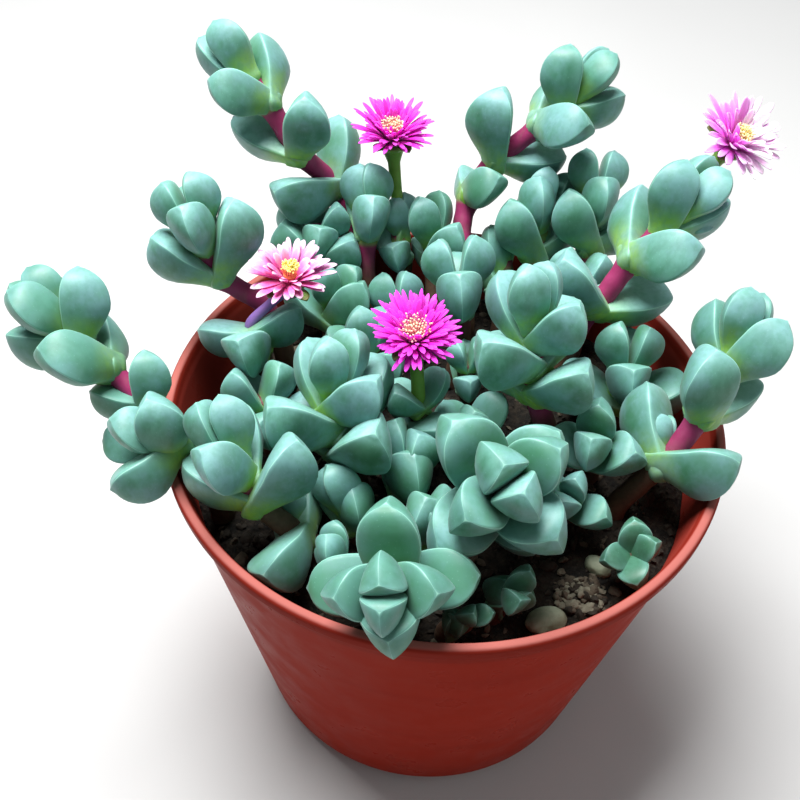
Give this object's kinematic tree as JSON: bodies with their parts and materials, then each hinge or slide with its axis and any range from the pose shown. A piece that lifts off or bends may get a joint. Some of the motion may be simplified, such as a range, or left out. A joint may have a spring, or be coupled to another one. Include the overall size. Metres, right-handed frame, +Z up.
{
  "type": "potted succulent in flower",
  "caption": "Tapered plastic pot filled with soil and a mat of short, fat, three-angled leaves on branching stems, with small daisy-like magenta flowers.",
  "frame": {"origin": "centre of the pot's underside, on the pad the pot stands on", "axes": "+Z up along the pot's axis, -Y towards the side seen at the front of the picture, +X to its right"},
  "size_m": [0.1436, 0.1321, 0.1358],
  "materials": {
    "pot": "red-brown, satin",
    "soil": "dark, damp potting soil",
    "pebble": "smooth, pale green-grey",
    "grit": "coarse, tan and grey",
    "leaf": "waxy blue-green",
    "petal": "silky magenta",
    "stamen": "pale yellow"
  },
  "bodies": {
    "root": {"pot": "pot", "soil": "soil", "pebble_front": "pebble", "pebble_right": "pebble", "grit": "grit", "front_shoot": "leaf", "front_right_shoot": "leaf", "centre_right_shoot": "leaf", "centre_left_shoot": "leaf", "left_shoot": "leaf", "back_left_arm": "leaf", "left_arm": "leaf", "upper_left_arm": "leaf", "back_right_arm": "leaf", "right_arm": "leaf", "far_right_arm": "leaf", "left_flower_shoot": "leaf", "middle_flower_shoot": "leaf", "back_flower_shoot": "leaf", "shoot_upper_middle": "leaf", "shoot_middle": "leaf", "shoot_middle_low": "leaf", "shoot_back_left": "leaf", "shoot_back_left_edge": "leaf", "shoot_back": "leaf", "shoot_back_right": "leaf", "shoot_back_right_far": "leaf", "shoot_back_middle": "leaf", "shoot_back_inner": "leaf", "shoot_right_back": "leaf", "shoot_right": "leaf", "shoot_right_low": "leaf", "shoot_right_edge": "leaf", "shoot_left_rim": "leaf", "shoot_left_gap": "leaf", "shoot_left_back": "leaf", "shoot_left_middle": "leaf", "shoot_left_inner": "leaf", "shoot_centre_low": "leaf", "shoot_left_low": "leaf", "shoot_front_middle": "leaf", "shoot_front_left": "leaf", "shoot_front_low": "leaf", "shoot_front_edge": "leaf", "left_flower_petals": "petal", "left_flower_stamens": "stamen", "middle_flower_petals": "petal", "middle_flower_stamens": "stamen", "back_flower_petals": "petal", "back_flower_stamens": "stamen", "right_flower_petals": "petal", "right_flower_stamens": "stamen"}
  },
  "joints": []
}
